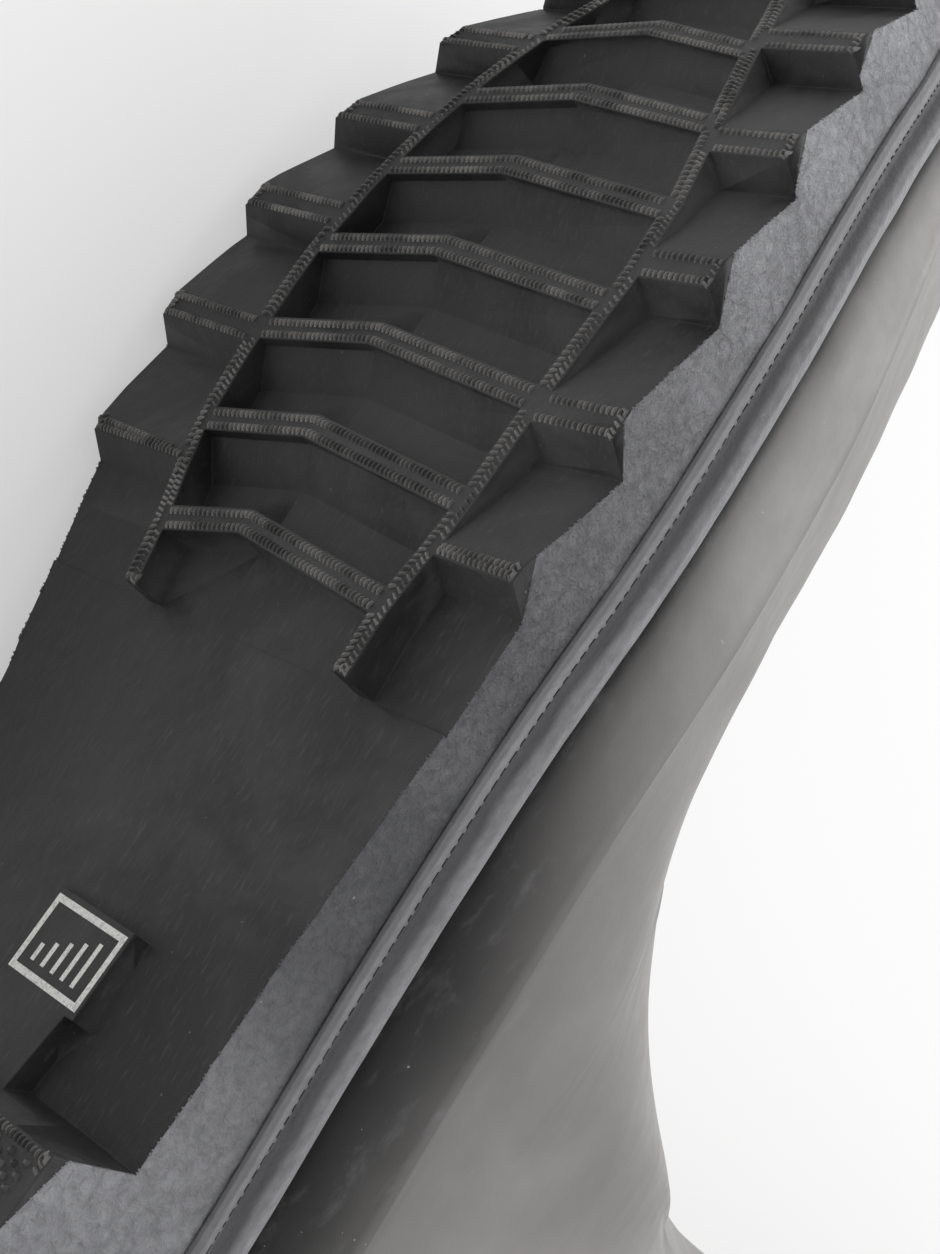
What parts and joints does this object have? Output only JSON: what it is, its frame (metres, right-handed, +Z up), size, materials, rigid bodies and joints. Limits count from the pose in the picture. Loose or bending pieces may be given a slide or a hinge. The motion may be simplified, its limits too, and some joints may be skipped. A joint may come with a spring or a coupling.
{
  "type": "rubber boot",
  "caption": "Tall rubber boot for the left foot, hollow from collar to toe, with a heeled and lugged outsole, trim strip, foxing band and insole, lying on its inner side.",
  "frame": {"origin": "centre of the bounding box at floor level", "axes": "+Z up from the floor the boot lies on; +Y out of the sole, so the shaft runs toward -Y; +X from the heel to the toe; the boot's outer side faces up"},
  "size_m": [0.3048, 0.3896, 0.1202],
  "materials": {
    "outsole_rubber": "matte moulded rubber, knurled on the tread's contact faces",
    "trim_rubber": "matte light strip",
    "foxing_rubber": "matte to satin",
    "upper_rubber": "satin, slightly dusty",
    "insole_fabric": "felted"
  },
  "bodies": {
    "root": {"outsole": "outsole_rubber", "trim_strip": "trim_rubber", "foxing_band": "foxing_rubber", "upper": "upper_rubber", "insole": "insole_fabric"}
  },
  "joints": []
}
